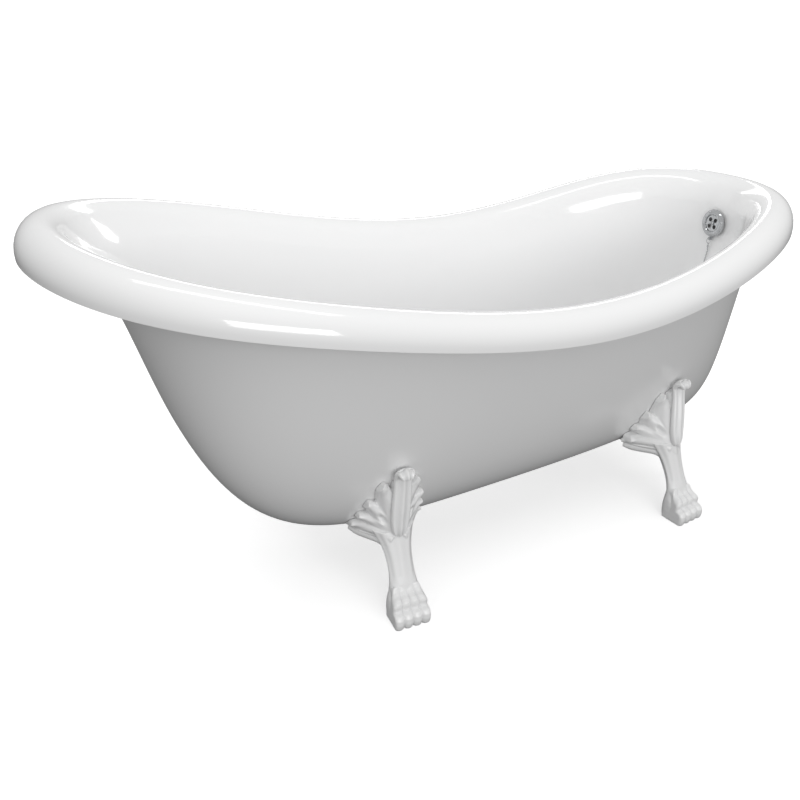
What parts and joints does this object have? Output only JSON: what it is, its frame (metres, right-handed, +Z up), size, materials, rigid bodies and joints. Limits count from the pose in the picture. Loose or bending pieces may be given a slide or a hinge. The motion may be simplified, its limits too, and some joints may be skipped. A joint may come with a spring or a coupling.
{
  "type": "freestanding bathtub",
  "caption": "Freestanding slipper bathtub with a rolled rim and raised back rest on claw feet, with waste, chained plug and overflow.",
  "frame": {"origin": "on the floor, under the middle of the bath's length and width", "axes": "+X along the bath towards the overflow end, the raised back rest at -X; +Y across the bath; +Z up"},
  "size_m": [1.6893, 0.8164, 0.7882],
  "materials": {
    "white_acrylic": "gloss white",
    "white_skin": "gloss white, slightly softer than the well",
    "white_casting": "semi-gloss white paint on a casting",
    "chrome": "polished",
    "zinc_plate": "zinc plated",
    "black_rubber": "matte",
    "pipe_plastic": "matte white",
    "sealed_board": "sealed"
  },
  "bodies": {
    "bath": {"ball_chain": "chrome", "base_board": "sealed_board", "chain_stay": "chrome", "claw_foot_foot_far": "white_casting", "claw_foot_foot_near": "white_casting", "claw_foot_head_far": "white_casting", "claw_foot_head_near": "white_casting", "foot_block_foot_far": "sealed_board", "foot_block_foot_near": "sealed_board", "foot_block_head_far": "sealed_board", "foot_block_head_near": "sealed_board", "foot_bolt_1": "zinc_plate", "foot_bolt_2": "zinc_plate", "foot_bolt_3": "zinc_plate", "foot_bolt_4": "zinc_plate", "foot_bolt_5": "zinc_plate", "foot_bolt_6": "zinc_plate", "foot_bolt_7": "zinc_plate", "foot_bolt_8": "zinc_plate", "foot_washer_1": "zinc_plate", "foot_washer_2": "zinc_plate", "foot_washer_3": "zinc_plate", "foot_washer_4": "zinc_plate", "foot_washer_5": "zinc_plate", "foot_washer_6": "zinc_plate", "foot_washer_7": "zinc_plate", "foot_washer_8": "zinc_plate", "inner_tub": "white_acrylic", "outer_skin": "white_skin", "overflow_back_seal": "black_rubber", "overflow_elbow": "pipe_plastic", "overflow_front_seal": "black_rubber", "overflow_pipe": "pipe_plastic", "overflow_rose": "chrome", "overflow_screw": "chrome", "pipe_nut_lower": "pipe_plastic", "pipe_nut_upper": "pipe_plastic", "waste_body": "pipe_plastic", "waste_flange": "chrome", "waste_lower_seal": "black_rubber", "waste_screw": "zinc_plate", "waste_top_seal": "black_rubber"},
    "plug": {"plug_body": "chrome", "plug_seal": "black_rubber", "plug_eye": "chrome", "plug_nut": "zinc_plate", "chain_coupling_bottom": "chrome"},
    "ring": {"chain_ring": "chrome", "chain_coupling_top": "chrome"}
  },
  "joints": [
    {"name": "plug_lift", "type": "slide", "parent": "bath", "child": "plug", "axis": [0, 0, 1], "range_m": [0, 0.12], "deforming": ["ball_chain"]},
    {"name": "chain_ring_swing", "type": "hinge", "parent": "bath", "child": "ring", "pos_m": [0.72775, 0, 0.54323], "axis": [0, 1, 0], "range_deg": [-2, 40]}
  ]
}
